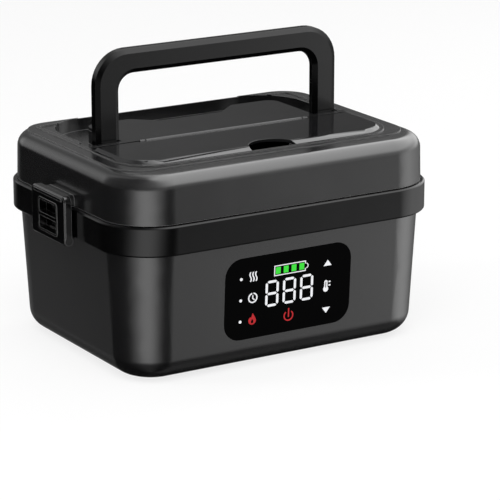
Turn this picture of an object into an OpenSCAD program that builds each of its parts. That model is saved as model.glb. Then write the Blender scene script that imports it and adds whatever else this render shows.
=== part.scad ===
// Electric lunch box: a heated tub with a lift-off lid, two side clips, a fold-down
// carrying handle, a cutlery compartment under a hinged cover, and a touch display.
// Frame: millimetres, +Z up, origin on the surface it stands on, under its middle.
// The long side runs along X and the display faces -Y.

/* [Overall] */
// Length of the collar, the widest piece
band_l = 240; // [232:1:260]
// Depth of the collar, front to back
band_w = 183; // [176:1:200]
// Radius of the collar's corners, seen from above
corner_r = 37; // [34:0.5:40]
// Height of the collar's lower edge above the table
body_h = 86.4; // [82:0.2:100]
// Height of the collar
band_h = 19.3; // [17:0.1:24]
// Height of the lid above the collar
lid_h = 31.8; // [30:0.1:40]

/* [Housing] */
// How far the housing stands in from the collar
body_inset = 5; // [4:0.1:6]
// Lean of the housing's sides, in degrees
body_draft = 3.2; // [1:0.1:4]
// Radius round the housing's lower edge
base_fillet = 15; // [10:0.5:16]
// Wall of the outer mouldings
wall = 2.4; // [2:0.1:3]
// How far the feet stand out below the housing
foot_h = 1.5; // [1:0.1:3]
// Radius of a foot
foot_r = 8; // [5:0.5:9]
// Thickness of the base cover
cover_t = 2; // [1.6:0.1:3]
// Length of a vent slot in the base cover
vent_l = 34; // [20:1:50]
// Width of a vent slot
vent_w = 2.4; // [2:0.1:3]
// Inset of the base cover from the collar
cover_inset = 30; // [29:0.5:31]
// Width of the ledge that the base cover screws to
cover_ledge = 4; // [3:0.25:5]

/* [Collar] */
// Wall of the collar
band_wall = 2.6; // [2.2:0.1:3]
// Chamfer on the collar's outer edges
band_chamfer = 0.9; // [0.4:0.1:1.2]
// Length of the collar's tongue inside the housing
tongue_h = 6; // [4:0.5:8]
// Seam between collar and lid
seam_gap = 0.4; // [0.3:0.05:0.6]

/* [Heated tub] */
// Inset of the tub's outer face from the collar
tub_inset = 18; // [17.5:0.1:19]
// Wall of the tub
tub_wall = 1.6; // [1.2:0.1:2]
// Height of the tub's inside floor above the table
tub_floor = 31; // [30:0.2:36]
// Depth of the tub's top face below the collar's top
tub_drop = 0.8; // [0.5:0.1:1.2]
// Thickness of the heating plate
heat_plate_t = 3; // [2:0.1:3.4]
// Length of the heating plate
heat_plate_l = 140; // [110:1:150]
// Depth of the heating plate
heat_plate_w = 100; // [80:1:105]
// Thickness of a heating element
heater_t = 1.4; // [1:0.1:1.6]
// Width of a heating element
heater_w = 16; // [10:1:20]
// Distance from a heating element to the plate's middle line
heater_y = 26; // [22:1:30]
// How far a heating element stays inside the plate's ends
heater_in = 15; // [12:1:20]
// Thickness of the heat shield
shield_t = 0.8; // [0.5:0.1:1]
// Thickness of the foam jacket round the tub
jacket_t = 4.5; // [3:0.25:5]

/* [Food container] */
// Gap between tub and container rim
container_gap = 0.8; // [0.5:0.1:1.5]
// Width of the container's rolled rim
rim_w = 2.2; // [1.8:0.1:3]
// Sheet thickness of the container
sheet_t = 0.8; // [0.6:0.1:1.2]
// Height of the container
container_h = 64; // [55:0.5:65]
// Radius round the container's floor
container_fillet = 9; // [5:0.5:12]
// Thickness of the container's lid
inner_lid_t = 2; // [1.6:0.1:2.4]

/* [Lid] */
// How far the lid stands in from the collar
lid_inset = 2.8; // [2:0.1:3.4]
// Lean of the lid's sides, in degrees
lid_draft = 1.4; // [0.5:0.1:2]
// Radius round the lid's upper edge
lid_fillet = 9.5; // [8:0.25:10]
// Step from the lid's shoulder up to the raised field
rim_step = 0.6; // [0.4:0.1:0.8]
// Half length of the raised field
field_half = 108; // [104:0.5:108.5]
// Inset of the field's front edge from the collar
field_front = 23; // [20:0.5:24]
// Inset of the field's rear edge from the collar
field_back = 12.2; // [12:0.1:13]
// Corner radius of the raised field
field_r = 20; // [14:0.5:24]
// Width of the low frame round cover and deck
frame_w = 2.6; // [2:0.1:3]
// Height of the low frame
frame_h = 0.7; // [0.5:0.1:0.9]
// Inset of the frame's rear edge from the collar
frame_back = 20.2; // [19:0.1:24]
// Thickness of the lid's liner
liner_t = 1.8; // [1.5:0.1:2.2]
// Width of the lid seal
seal_w = 4; // [3:0.25:5]
// Height of the raised deck above the lid's rim
deck_t = 2.2; // [1.8:0.1:2.6]
// Half width of the deck between the handle's legs
deck_half = 73.4; // [70:0.1:73.6]
// Place of the deck's rear edge
deck_back = 50; // [47:0.5:51]
// Depth of the finger notch in the deck's rear edge
deck_notch = 14; // [10:0.5:16]
// Depth of the handle's channel below the rim
channel_d = 9; // [8.8:0.1:11]
// Half length of the channel
channel_half = 93.4; // [92:0.1:94]
// Radius of the channel's rear corners
channel_r = 34; // [28:0.5:36]
// Inset of the channel's rear edge from the collar
channel_inset = 12; // [11.8:0.1:14]

/* [Cutlery compartment] */
// Half length of the compartment's mouth
mouth_half = 91; // [86:0.5:91.5]
// Inset of the mouth's front edge from the collar
mouth_inset = 35.5; // [34:0.5:37]
// Place of the mouth's rear edge
mouth_back = -12; // [-14:0.5:-11.5]
// Depth of the compartment below the lid's rim
tray_d = 25.4; // [20:0.2:26]
// Wall of the compartment
tray_wall = 1.6; // [1.2:0.1:2]
// How far the cover reaches past the mouth
flap_over = 5.4; // [5:0.1:6]
// Radius of the cover's front corners
flap_r = 22; // [18:0.5:24]
// Width of the bevel round the cover
flap_bevel = 5; // [3:0.25:5.5]
// Place of the cover's hinge
hinge_y = -8; // [-9:0.1:-7.5]
// Half length of the hinge barrel
hinge_half = 60; // [50:0.5:64]
// Radius of the hinge barrel
barrel_r = 1.35; // [1.2:0.05:1.5]
// Radius of the hinge pin
hinge_pin_r = 0.7; // [0.5:0.05:0.8]
// Radius of the finger notch in the cover
notch_r = 16.5; // [14:0.5:20]
// Place of the finger notch along the cover
notch_x = 5; // [-6:0.5:6]

/* [Handle] */
// Outer half length of the handle
handle_half = 91.3; // [90.5:0.1:91.4]
// Width of a handle leg
leg_w = 17.4; // [14:0.1:17.5]
// Thickness of the handle
handle_t = 8.5; // [7:0.1:8.6]
// Width of the bevels along the handle, across its front
handle_bevel = 3.2; // [1.5:0.1:4]
// Depth of those bevels, along its thickness
bevel_d = 1.6; // [0.8:0.1:2.4]
// Height of the grip bar
bar_h = 16.3; // [13:0.1:18]
// Height of the handle above its pivot
handle_h = 66.4; // [60:0.2:68]
// Outer corner radius of the handle
handle_r = 23; // [18:0.5:24]
// Inner corner radius of the handle
handle_in_r = 11; // [7:0.5:15]
// Place of the pivot, front to back
pivot_y = 3; // [2.8:0.1:3.5]
// Radius of the pivot pins
pivot_r = 2; // [1.6:0.05:2.2]

/* [Side clips] */
// Width of a clip
clip_w = 46; // [40:0.5:50]
// Height of a clip above its pivot
clip_h = 29; // [28:0.2:31]
// Thickness of a clip
clip_t = 5; // [4.8:0.1:5.4]
// Radius of a clip's upper corners
clip_r = 4; // [3:0.25:6]
// Radius of a clip's lower corners
clip_low_r = 2; // [1.5:0.25:3]
// Bevel round a clip's outer face
clip_bevel = 0.9; // [0.5:0.1:1.2]
// Radius of a clip's pivot barrel
clip_barrel_r = 2.9; // [2.5:0.05:3]
// Radius of the ears that carry a clip
ear_r = 1.9; // [1.7:0.05:2]
// Radius of a clip's pin
clip_pin_r = 1; // [0.8:0.05:1.1]
// Width of a clip's window
window_w = 23; // [18:0.5:24]
// Height of a clip's window
window_h = 19; // [14:0.5:20]
// Width of the bar across the window
window_bar = 2.4; // [2:0.1:3]

/* [Display] */
// Length of the display window
glass_l = 95; // [85:0.5:98]
// Height of the display window
glass_h = 55; // [50:0.5:58]
// Corner radius of the display window
glass_r = 12; // [8:0.5:14]
// Thickness of the display window
glass_t = 1.6; // [1.2:0.1:2]
// Place of the display's centre along the front
glass_x = 1.5; // [-6:0.5:6]
// Height of the display's centre above the table
glass_z = 48.2; // [47:0.2:52]
// Height of a numeral
digit_h = 17.6; // [15:0.2:19]
// Width of a numeral
digit_w = 9.8; // [8:0.1:11]
// Width of a numeral's strokes
stroke = 1.6; // [1.2:0.1:2]
// Space between two numerals
digit_gap = 3.3; // [2.4:0.1:4]
// Height of a sign beside the numerals
sign_h = 7; // [5:0.25:8]
// How far the lit symbols stand out of the window
symbol_t = 0.2; // [0.15:0.05:0.3]

/* [Electronics] */
// Diameter of a battery cell
cell_d = 18.4; // [17:0.1:18.6]
// Length of a battery cell
cell_l = 65; // [60:0.5:66]
// Number of battery cells
cell_n = 4; // [3:1:4]
// Thickness of the circuit boards
board_t = 1.6; // [1:0.1:2]
// Length of the control board
main_l = 74; // [70:1:76]
// Width of the control board
main_w = 64; // [60:1:70]
// Height of the control board above the base cover
main_gap = 8; // [5:0.5:9]
// Height of the tallest parts on the control board
part_h = 6; // [4:0.5:7]
// Width of a plug on the control board
plug_w = 8; // [6:0.5:9]
// Height of a plug on the control board
plug_board_h = 5; // [4:0.25:6]
// Radius of the power socket's mouth
socket_r = 2.8; // [2.4:0.05:3]
// Length of the power socket behind the housing's face
socket_depth = 9.5; // [8:0.25:9.5]
// Radius of the power socket's body
socket_body_r = 5.5; // [4.5:0.1:6]
// Radius of a lead's insulation
lead_r = 0.9; // [0.6:0.05:1]

/* [Fits] */
// Running clearance of pins and shafts
run_gap = 0.05; // [0.03:0.01:0.09]
// Clearance of a fixed pin in its hole
fix_gap = 0.02; // [0.01:0.01:0.04]
// Clearance between fitted mouldings
fit_gap = 0.2; // [0.1:0.05:0.3]
// Clearance between pieces that move past each other
move_gap = 0.35; // [0.3:0.05:0.4]
// Radius of a screw's shank
screw_r = 1.5; // [1.2:0.05:1.6]
// Radius of a screw's head
screw_head_r = 2.8; // [2.4:0.1:3]
// Height of a screw's head
screw_head_h = 1.4; // [1:0.1:1.6]
// Length of a screw past what it holds
screw_bite = 7; // [5:0.5:7.5]

/* [Hidden] */

$fn = 72;
core_x = band_l / 2 - corner_r;
core_y = band_w / 2 - corner_r;
front = -band_w / 2;
split_z = body_h + band_h;
lid_z = split_z + seam_gap;
top_z = split_z + lid_h;
deck_z = top_z + deck_t;
ring_t = wall;
rim_z = top_z - rim_step;
plate_z = rim_z - ring_t;
charcoal = [0.17, 0.17, 0.18];
glossy = [0.24, 0.24, 0.25];
black = [0.05, 0.05, 0.055];
steel = [0.72, 0.72, 0.72];
silicone = [0.62, 0.62, 0.6];

// housing levels
shelf_z = foot_h + cover_t;
ledge_z = shelf_z + wall;
fillet_z = foot_h + base_fillet;
boss_r = 5;
boss_top = ledge_z + screw_bite + 1;

// tub levels
tub_top = split_z - tub_drop;
tub_rim_t = 2.2;
tub_in = tub_inset + tub_wall;
plate_top = tub_floor - tub_wall;
heater_top = plate_top - heat_plate_t;
shield_top = heater_top - heater_t;
container_z = tub_floor + 0.3;
container_top = container_z + container_h;
rim_inset = tub_in + container_gap;
inner_lid_z = container_top + 0.05;
plug_h = 5;

// lid levels
liner_z = lid_z + 0.6;
seal_bottom = tub_top + 0.3;
channel_z = top_z - channel_d;
channel_back = band_w / 2 - channel_inset;
leg_in = handle_half - leg_w;
pivot_z = channel_z + 0.25 + handle_t / 2;
pocket_y0 = pivot_y - handle_t / 2 - move_gap;
pocket_y1 = pivot_y + handle_t / 2 + 9;
pin_in = leg_in - 8;
pin_boss_r = pivot_r + 2;
mouth_front = front + mouth_inset;
mouth_r = 15;
flap_front = mouth_front - flap_over;
flap_half = mouth_half + flap_over + 0.4;
pocket_half = flap_half + move_gap;
pin_out = pocket_half + 5;
plate_inset = 25;
flap_z = top_z + fit_gap;
hinge_z = deck_z - 0.5;
tray_grow = 6.4;
tray_z = top_z - tray_d;
knuckle_l = 4;
seal_in = tub_inset - seal_w - 0.4;
lid_boss_x = band_l / 2 - seal_in + screw_head_r + 0.8;
lid_boss_y = core_y - 9;
lid_boss_r = band_l / 2 - lid_inset - wall + 0.8 - lid_boss_x;
head_sink = liner_t / 2;

// side clips
clip_x = band_l / 2 + 4;
clip_z = body_h - 1.4;
clip_back = clip_x - 2;
ear_w = 4;
ear_y = 17;
keeper_w = 36;
keeper_h = 7;

// display
draft_x = tan(body_draft);
glass_y = front + body_inset + (body_h - glass_z) * draft_x;
lip = 3;
row_gap = glass_h / 2 - 13.1;
icon_x = -glass_l / 2 + 20.6;
lamp_x = -glass_l / 2 + 11.6;
lamp_dz = -0.6;
arrow_x = glass_l / 2 - 18.1;
digit_x = 0.6;
digit_dz = 0.7;
digit_pitch = digit_w + digit_gap;
gauge_l = 2 * digit_pitch - 2.4;
gauge_z = glass_h / 2 - 11.9;
power_z = -glass_h / 2 + 11;
unit_h = sign_h / 7;
board_gap = 4.2;
board_half = glass_l / 2 - lip - 0.5;

// electronics
cell_pitch = cell_d + 1;
holder_floor = ledge_z - wall + 1.2;
cell_z = holder_floor + cell_d / 2 + 0.1;
cell_x = -48;
main_x = 42;
holder_end = cell_x + cell_l / 2 + 3.3;
main_z = shelf_z + main_gap;
main_top = main_z + board_t;
post_r = 3;
post_in = 4;
supply_x = main_x - 12;
supply_y = 26;
cell_plug_x = main_x - main_l / 2 + 1;
socket_x = 60;
socket_z = tub_floor - 7;
end_gap = 0.3;
rear_y = -front - body_inset - (body_h - socket_z) * draft_x;

// ------------------------------------------------------------------ helpers

function arc(cx, cy, r, a0, a1, n = 8) =
    [for (i = [0 : n]) [cx + r * cos(a0 + (a1 - a0) * i / n), cy + r * sin(a0 + (a1 - a0) * i / n)]];

// Rounded rectangle about a centre
function rounded(l, w, r, n = 8, c = [0, 0]) = concat(
    arc(c[0] + l / 2 - r, c[1] + w / 2 - r, r, 0, 90, n),
    arc(c[0] - l / 2 + r, c[1] + w / 2 - r, r, 90, 180, n),
    arc(c[0] - l / 2 + r, c[1] - w / 2 + r, r, 180, 270, n),
    arc(c[0] + l / 2 - r, c[1] - w / 2 + r, r, 270, 360, n));

// The collar's outline drawn in by an inset
function inset_outline(inset, n = 12) =
    rounded(band_l - 2 * inset, band_w - 2 * inset, max(corner_r - inset, 2), n);

// A profile point: inset from the collar's face, and height
function at(inset, z) = [corner_r - inset, z];

// Inset of the housing's drafted face at a height
function body_face(z) = body_inset + (body_h - z) * draft_x;

module slab(points, z0, z1) {
    translate([0, 0, z0])
        linear_extrude(z1 - z0)
            polygon(points);
}

// Sweeps a profile round the collar's outline
module swept() {
    for (i = [0 : 3]) {
        hx = i % 2 == 0 ? core_x : core_y;
        hy = i % 2 == 0 ? core_y : core_x;
        rotate(90 * i)
            translate([hx, hy, 0]) {
                rotate_extrude(angle = 90, $fn = 96)
                    children();
                rotate([90, 0, 0])
                    linear_extrude(2 * hy)
                        children();
            }
    }
}

module corners(x, y) {
    for (sx = [-1, 1], sy = [-1, 1])
        translate([sx * x, sy * y, 0])
            children();
}

module rod_x(r, x0, x1, y, z) {
    translate([x0, y, z])
        rotate([0, 90, 0])
            cylinder(r = r, h = x1 - x0);
}

// A rod along X between two distances from the middle, on the side s
module rod_sx(s, r, d0, d1, y, z) {
    rod_x(r, min(s * d0, s * d1), max(s * d0, s * d1), y, z);
}

module rod_y(r, y0, y1, x, z) {
    translate([x, y0, z])
        rotate([-90, 0, 0])
            cylinder(r = r, h = y1 - y0);
}

module block(x0, x1, y0, y1, z0, z1) {
    translate([x0, y0, z0])
        cube([x1 - x0, y1 - y0, z1 - z0]);
}

// Places children on the display's leaning face: local -Y looks out of it
module on_face(x = 0, z = 0, depth = 0) {
    translate([glass_x, glass_y, glass_z])
        rotate([body_draft, 0, 0])
            translate([x, depth, z])
                children();
}

// A flat shape on the display's face, its back at a depth and its front t nearer the user
module face_plate(x, z, depth, t) {
    on_face(x, z, depth)
        rotate([90, 0, 0])
            linear_extrude(t)
                children();
}

// ------------------------------------------------------------------ housing

module lower_housing() {
    cz = fillet_z;
    cx = corner_r - body_face(cz) - base_fillet / cos(body_draft);
    color(charcoal)
    difference() {
        union() {
            swept()
                polygon(concat(
                    [at(body_inset, body_h)],
                    arc(cx, cz, base_fillet, -body_draft, -90, 10),
                    [at(cover_inset - fit_gap, foot_h),
                     at(cover_inset - fit_gap, shelf_z),
                     at(cover_inset + cover_ledge, shelf_z),
                     at(cover_inset + cover_ledge, ledge_z),
                     at(cover_inset - wall - 1, ledge_z),
                     at(cover_inset - wall - 1, foot_h + wall)],
                    arc(cx, cz, base_fillet - wall, -90, -body_draft, 10),
                    [at(body_inset + wall / cos(body_draft), body_h)]));
            corners(core_x, core_y)
                translate([0, 0, shelf_z])
                    cylinder(r = boss_r, h = boss_top - shelf_z);
            // guides for the display board
            for (s = [-1, 1])
                on_face(s * (board_half + 1), 0, wall - 0.6)
                    translate([-1, 0, -10])
                        cube([2, board_gap + board_t - wall + 1.6, 20]);
        }
        corners(core_x, core_y)
            translate([0, 0, shelf_z - 1])
                cylinder(r = screw_r + fix_gap, h = boss_top - shelf_z - 0.6, $fn = 32);
        face_plate(0, 0, glass_t, glass_t + 4)
            polygon(rounded(glass_l + 2 * fit_gap, glass_h + 2 * fit_gap, glass_r + fit_gap));
        face_plate(0, 0, 5, 9)
            polygon(rounded(glass_l - 2 * lip, glass_h - 2 * lip, glass_r - lip));
        rod_y(socket_body_r + fix_gap, rear_y - 6, rear_y + 4, socket_x, socket_z);
    }
}

module base_cover() {
    color(black)
    difference() {
        union() {
            slab(inset_outline(cover_inset), foot_h, shelf_z);
            // posts under the control board
            translate([main_x, 0, shelf_z])
                corners(main_l / 2 - post_in, main_w / 2 - post_in)
                    cylinder(r = post_r, h = main_gap, $fn = 32);
        }
        corners(core_x, core_y)
            translate([0, 0, foot_h - 1]) {
                cylinder(r = screw_r + 0.2, h = cover_t + 2, $fn = 32);
                cylinder(r = screw_head_r + 0.3, h = 1 + screw_head_h - 0.2, $fn = 32);
            }
        corners(core_x - 14, core_y - 12)
            translate([0, 0, foot_h - 1])
                cylinder(r = foot_r + fit_gap, h = 1.8);
        // vent slots under the control board
        for (i = [-3 : 3])
            slab(rounded(vent_l, vent_w, vent_w / 2, 4, [main_x, i * 2.5 * vent_w]),
                foot_h - 1, shelf_z + 1);
    }
}

module rubber_feet() {
    color([0.08, 0.08, 0.08])
    corners(core_x - 14, core_y - 12)
        rotate_extrude()
            polygon(concat([[0, 0]], arc(foot_r - 1, 1, 1, -90, 0, 4),
                [[foot_r, foot_h + 0.8], [0, foot_h + 0.8]]));
}

module base_screws() {
    color(steel)
    corners(core_x, core_y)
        translate([0, 0, foot_h]) {
            cylinder(r = screw_head_r, h = screw_head_h - 0.2, $fn = 32);
            cylinder(r = screw_r, h = cover_t + screw_bite, $fn = 32);
        }
}

// ------------------------------------------------------------------ collar

module collar_band() {
    c = band_chamfer;
    web = 9.4;
    seat = tub_top - tub_rim_t;
    hook = body_inset + wall / cos(body_draft) + fit_gap;
    color(black)
    difference() {
        union() {
            swept()
                polygon([
                    at(c, body_h), at(0, body_h + c), at(0, split_z - c), at(c, split_z),
                    at(band_wall, split_z), at(band_wall, seat), at(band_wall + 3, seat),
                    at(band_wall + 3, seat - 2), at(band_wall, seat - 5), at(band_wall, body_h + wall),
                    at(web, body_h + wall), at(web + 0.6, body_h - tongue_h),
                    at(hook + 0.4, body_h - tongue_h), at(hook, body_h)]);
            for (s = [-1, 1]) {
                for (y = [-ear_y, ear_y])
                    clip_ear(s, y);
            }
        }
        for (s = [-1, 1])
            rod_y(clip_pin_r + fix_gap, -clip_w, clip_w, s * clip_x, clip_z);
    }
}

// One ear that carries a clip's pin
module clip_ear(s, y) {
    reach = band_l / 2 - 2;
    web_x = clip_back - 0.8;
    rod_y(ear_r, y - ear_w / 2, y + ear_w / 2, s * clip_x, clip_z);
    translate([s * (reach + clip_x) / 2, y, clip_z + ear_r / 2])
        cube([clip_x - reach, ear_w, ear_r], center = true);
    translate([s * (reach + web_x) / 2, y, clip_z + 2])
        cube([web_x - reach, ear_w, 4], center = true);
}

// ------------------------------------------------------------------ heated tub

module heated_tub() {
    floor_r = 8;
    cx = corner_r - tub_in - floor_r;
    cz = tub_floor + floor_r;
    color([0.3, 0.3, 0.31])
    union() {
        swept()
            polygon(concat(
                [at(band_wall + fit_gap, tub_top), at(band_wall + fit_gap, tub_top - tub_rim_t),
                 at(tub_inset, tub_top - tub_rim_t)],
                arc(cx, cz, floor_r + tub_wall, 0, -90, 6),
                [[cx - 0.5, tub_floor - tub_wall], [cx - 0.5, tub_floor]],
                arc(cx, cz, floor_r, -90, 0, 6),
                [at(tub_in, tub_top)]));
        slab(inset_outline(tub_in + floor_r + 0.2), tub_floor - tub_wall, tub_floor);
    }
}

module heating_plate() {
    color([0.76, 0.77, 0.78])
    difference() {
        slab(rounded(heat_plate_l, heat_plate_w, 10), heater_top, plate_top);
        translate([30, 0, heater_top - 1])
            cylinder(r = 3 + fit_gap, h = heat_plate_t + 2);
    }
}

module heating_elements() {
    color([0.82, 0.62, 0.3])
    for (y = [-1, 1])
        slab(rounded(heat_plate_l - 2 * heater_in, heater_w, 1, 2, [0, y * heater_y]),
            shield_top, heater_top);
}

module heat_shield() {
    color([0.85, 0.83, 0.76])
    difference() {
        slab(rounded(heat_plate_l, heat_plate_w, 6), shield_top - shield_t, shield_top);
        translate([30, 0, shield_top - 2])
            cylinder(r = 3.6, h = 3);
        for (x = [-1, 1])
            translate([x * (heat_plate_l / 2 - 8), 0, shield_top - 2])
                cylinder(r = 2.2, h = 3);
    }
}

module temperature_sensor() {
    color(steel)
    translate([30, 0, shield_top - 3]) {
        cylinder(r = 3, h = plate_top - shield_top + 3);
        cylinder(r = 4.6, h = 1.6);
    }
}

module foam_jacket() {
    color([0.9, 0.9, 0.88])
    difference() {
        swept()
            polygon([
                at(tub_inset - jacket_t, tub_floor + 12), at(tub_inset - fit_gap, tub_floor + 12),
                at(tub_inset - fit_gap, body_h - tongue_h - 2),
                at(tub_inset - jacket_t, body_h - tongue_h - 2)]);
        block(glass_x - glass_l / 2 - 4, glass_x + glass_l / 2 + 4,
            front, front + tub_inset, tub_floor, body_h);
    }
}

// ------------------------------------------------------------------ electronics

module battery_cells() {
    color([0.2, 0.45, 0.75])
    for (i = [0 : cell_n - 1]) {
        y = (i - (cell_n - 1) / 2) * cell_pitch;
        rod_x(cell_d / 2, cell_x - cell_l / 2, cell_x + cell_l / 2, y, cell_z);
        rod_x(3, cell_x + cell_l / 2, cell_x + cell_l / 2 + 1, y, cell_z);
    }
}

module battery_holder() {
    half = cell_n * cell_pitch / 2 + 1.4;
    end = holder_end - cell_x - 2;
    color([0.12, 0.12, 0.13])
    difference() {
        union() {
            block(cell_x - end - 2, cell_x + end + 2, -half, half, shelf_z, holder_floor + 5);
            for (s = [-1, 1])
                block(cell_x + s * (end + 1) - 1, cell_x + s * (end + 1) + 1, -half, half,
                    shelf_z, cell_z + 4);
        }
        for (i = [0 : cell_n - 1])
            rod_x(cell_d / 2 + 0.1, cell_x - end, cell_x + end,
                (i - (cell_n - 1) / 2) * cell_pitch, cell_z);
    }
}

module control_board() {
    color([0.1, 0.4, 0.22])
    difference() {
        slab(rounded(main_l, main_w, 2, 3, [main_x, 0]), main_z, main_z + board_t);
        translate([main_x, 0, main_z - 1])
            corners(main_l / 2 - post_in, main_w / 2 - post_in)
                cylinder(r = 1.4, h = board_t + 2, $fn = 24);
    }
}

module board_parts() {
    color([0.22, 0.22, 0.24]) {
        // power transistors in a row
        for (i = [0 : 2])
            block(main_x + 10 + i * 7.5, main_x + 15 + i * 7.5, -24, -14, main_top, main_top + part_h - 2);
        // processor
        block(main_x - 22, main_x - 10, -8, 4, main_top, main_top + board_t);
        // coil
        block(main_x + 2, main_x + 14, 10, 22, main_top, main_top + part_h);
        // capacitors
        for (y = [10, 20])
            translate([main_x + 26, y, main_top])
                cylinder(r = 4, h = part_h);
        // plugs of the supply and of the cells
        block(supply_x - plug_w / 2, supply_x + plug_w / 2, supply_y - 6, supply_y,
            main_top, main_top + plug_board_h);
        block(cell_plug_x, cell_plug_x + 6, -plug_w / 2, plug_w / 2,
            main_top, main_top + plug_board_h);
    }
}

module power_socket() {
    color(black)
    difference() {
        union() {
            rod_y(socket_body_r, rear_y - socket_depth, rear_y + 0.4, socket_x, socket_z);
            rod_y(socket_body_r + 1.6, rear_y - wall - 3.2, rear_y - wall - 0.8, socket_x, socket_z);
        }
        rod_y(socket_r, rear_y - socket_depth + 2, rear_y + 3, socket_x, socket_z);
    }
}

module socket_contact() {
    color(steel)
    rod_y(1, rear_y - socket_depth + 2, rear_y - 1.5, socket_x, socket_z);
}

// A lead along a route: a tube with 8 sides and a ring at each point
function unit(v) = v / norm(v);
function along(p, i) = let (n = len(p)) i == 0 ? unit(p[1] - p[0])
    : i == n - 1 ? unit(p[n - 1] - p[n - 2]) : unit(unit(p[i] - p[i - 1]) + unit(p[i + 1] - p[i]));
function side_of(d) = unit(cross(d, abs(d[2]) < 0.8 ? [0, 0, 1] : [1, 0, 0]));

module lead(p, r) {
    n = len(p);
    m = 8;
    points = [for (i = [0 : n - 1], k = [0 : m - 1])
        let (d = along(p, i), a = side_of(d), b = cross(d, a))
        p[i] + r * (cos(k * 360 / m) * a + sin(k * 360 / m) * b)];
    sides = [for (i = [0 : n - 2], k = [0 : m - 1])
        let (k2 = (k + 1) % m) [i * m + k, (i + 1) * m + k, (i + 1) * m + k2, i * m + k2]];
    ends = [[for (k = [0 : m - 1]) k], [for (k = [m - 1 : -1 : 0]) (n - 1) * m + k]];
    polyhedron(points, concat(sides, ends));
}

// Smooth run from a to b that leaves each end along its own direction
function run(a, da, b, db, n = 10) = [for (i = [0 : n]) let (t = i / n, u = 1 - t)
    u * u * u * a + 3 * u * u * t * (a + da) + 3 * u * t * t * (b + db) + t * t * t * b];

module internal_leads() {
    color("red")
        for (s = [-1, 1])
            lead(run([socket_x + s * 2.4, rear_y - socket_depth - end_gap, socket_z], [0, -10, 0],
                [supply_x + s * 1.6, supply_y + end_gap, main_top + plug_board_h / 2], [0, 14, 0]), lead_r);
    color("black")
        for (s = [-1, 1])
            lead(run([holder_end + end_gap, s * cell_pitch * 1.2, cell_z + 2], [6, 0, 0],
                [cell_plug_x - end_gap, s * 1.6, main_top + plug_board_h / 2], [-6, 0, 0]), lead_r);
}

// ------------------------------------------------------------------ display

module display_window() {
    color([0.02, 0.02, 0.02])
    face_plate(0, 0, glass_t, glass_t + 0.3)
        polygon(rounded(glass_l, glass_h, glass_r));
}

module display_board() {
    color([0.1, 0.4, 0.22])
    face_plate(0, 0, board_gap + board_t, board_t)
        polygon(rounded(2 * board_half, glass_h - 2 * lip - 1, 3, 3));
}

// One stroke of a numeral, with pointed ends
module segment(l, w) {
    polygon([[-l / 2, 0], [-l / 2 + w / 2, w / 2], [l / 2 - w / 2, w / 2],
        [l / 2, 0], [l / 2 - w / 2, -w / 2], [-l / 2 + w / 2, -w / 2]]);
}

module numeral() {
    v = (digit_h - stroke) / 2;
    h = digit_w - stroke;
    for (z = [-v, 0, v])
        translate([0, z])
            segment(h - 0.8 * stroke, stroke);
    for (x = [-1, 1], z = [-1, 1])
        translate([x * h / 2, z * v / 2])
            rotate(90)
                segment(v - 0.5 * stroke, stroke);
}

module lit(x, z) {
    face_plate(x, z, -0.3, symbol_t)
        children();
}

module display_numerals() {
    color("white")
    for (i = [-1 : 1])
        lit(digit_x + i * digit_pitch, digit_dz)
            numeral();
}

module battery_gauge() {
    color([0.2, 0.9, 0.3])
    for (i = [0 : 3])
        lit(digit_x + (i - 1.5) * gauge_l / 4, gauge_z)
            square([gauge_l / 4 - 2.4, sign_h - 2.5], center = true);
}

// Outline of the battery sign, drawn in by g
module battery_outline(g) {
    l = gauge_l / 2 - g;
    h = sign_h / 2 - g;
    neck = h / 2 + g / 4;
    polygon([[-l, -h], [l, -h], [l, -neck], [l + 1, -neck], [l + 2, -h / 5],
        [l + 2, h / 5], [l + 1, neck], [l, neck], [l, h], [-l, h]]);
}

// A ring, or part of one, as a flat outline
module arc_band(r, w, a0, a1) {
    polygon(concat(arc(0, 0, r + w / 2, a0, a1, 14), arc(0, 0, r - w / 2, a1, a0, 14)));
}

module mode_symbols() {
    u = unit_h;
    color("white") {
        // steam
        for (i = [-1 : 1])
            lit(icon_x + i * 2.1 * u, row_gap)
                polygon(u * concat(
                    [for (k = [0 : 10]) [0.55 * sin(k * 36) - 0.42, -3.2 + k * 0.64]],
                    [for (k = [10 : -1 : 0]) [0.55 * sin(k * 36) + 0.42, -3.2 + k * 0.64]]));
        // clock
        lit(icon_x, 0)
            arc_band(3.1 * u, 0.85 * u, 100, 440);
        lit(icon_x, 0)
            polygon(u * [[-0.4, 1.7], [0.3, 1.7], [0.3, -0.2], [1.5, -1.1], [1.1, -1.7], [-0.4, -0.6]]);
        // arrows
        lit(arrow_x, row_gap + 0.5)
            polygon(u * [[-3, -1.9], [3, -1.9], [0, 2]]);
        lit(arrow_x, -row_gap - 3.2)
            polygon(u * [[-3, 1.9], [3, 1.9], [0, -2]]);
        // thermometer
        lit(arrow_x - 0.8 * u, -1.2)
            difference() {
                union() {
                    polygon(rounded(2.4 * u, 7 * u, 1.15 * u, 4, [0, 0.8 * u]));
                    translate([0, -1.7 * u])
                        circle(r = 1.9 * u, $fn = 24);
                }
                translate([0, 1.2 * u])
                    square([0.8 * u, 4 * u], center = true);
            }
        for (z = [0.6, 3])
            lit(arrow_x + 2 * u, -1.2 + z * u)
                square([1.4 * u, 0.9 * u], center = true);
        // outline of the battery
        lit(digit_x, gauge_z)
            difference() {
                battery_outline(0);
                battery_outline(0.55);
            }
    }
}

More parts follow.
